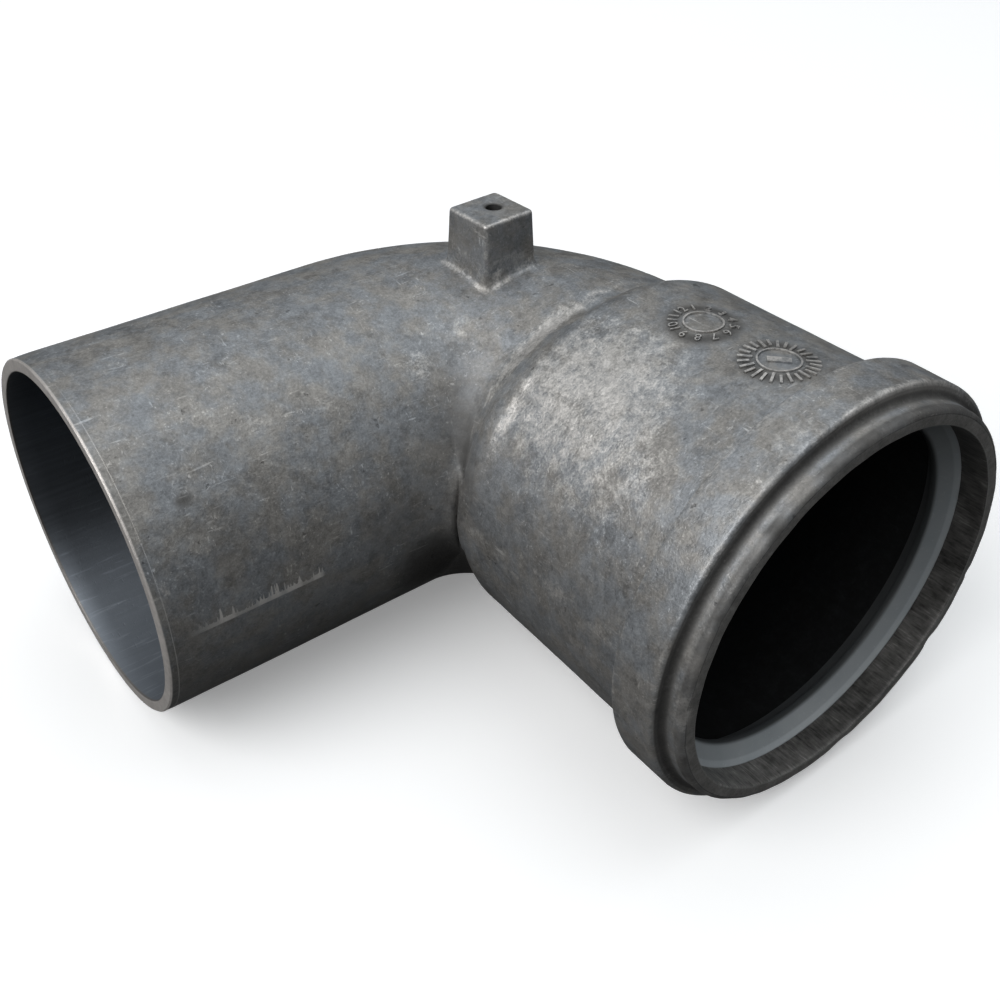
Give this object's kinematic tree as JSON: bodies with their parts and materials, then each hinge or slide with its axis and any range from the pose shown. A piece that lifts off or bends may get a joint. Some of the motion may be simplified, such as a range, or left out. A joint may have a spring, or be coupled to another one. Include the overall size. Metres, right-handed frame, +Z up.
{
  "type": "flue pipe elbow",
  "caption": "Right-angle cast flue elbow with a plain spigot, a beaded push-in socket with a lip seal, and a small drilled boss on the bend.",
  "frame": {"origin": "centre of the spigot's open end", "axes": "the spigot opens along -X, the socket opens along -Y, and +Z points up through the boss"},
  "size_m": [0.1595, 0.153, 0.1014],
  "materials": {
    "cast_aluminium": "as cast, weathered and rubbed, mottled grey",
    "seal_silicone": "smooth matt grey silicone"
  },
  "bodies": {
    "root": {"elbow_casting": "cast_aluminium", "socket_seal": "seal_silicone"}
  },
  "joints": []
}
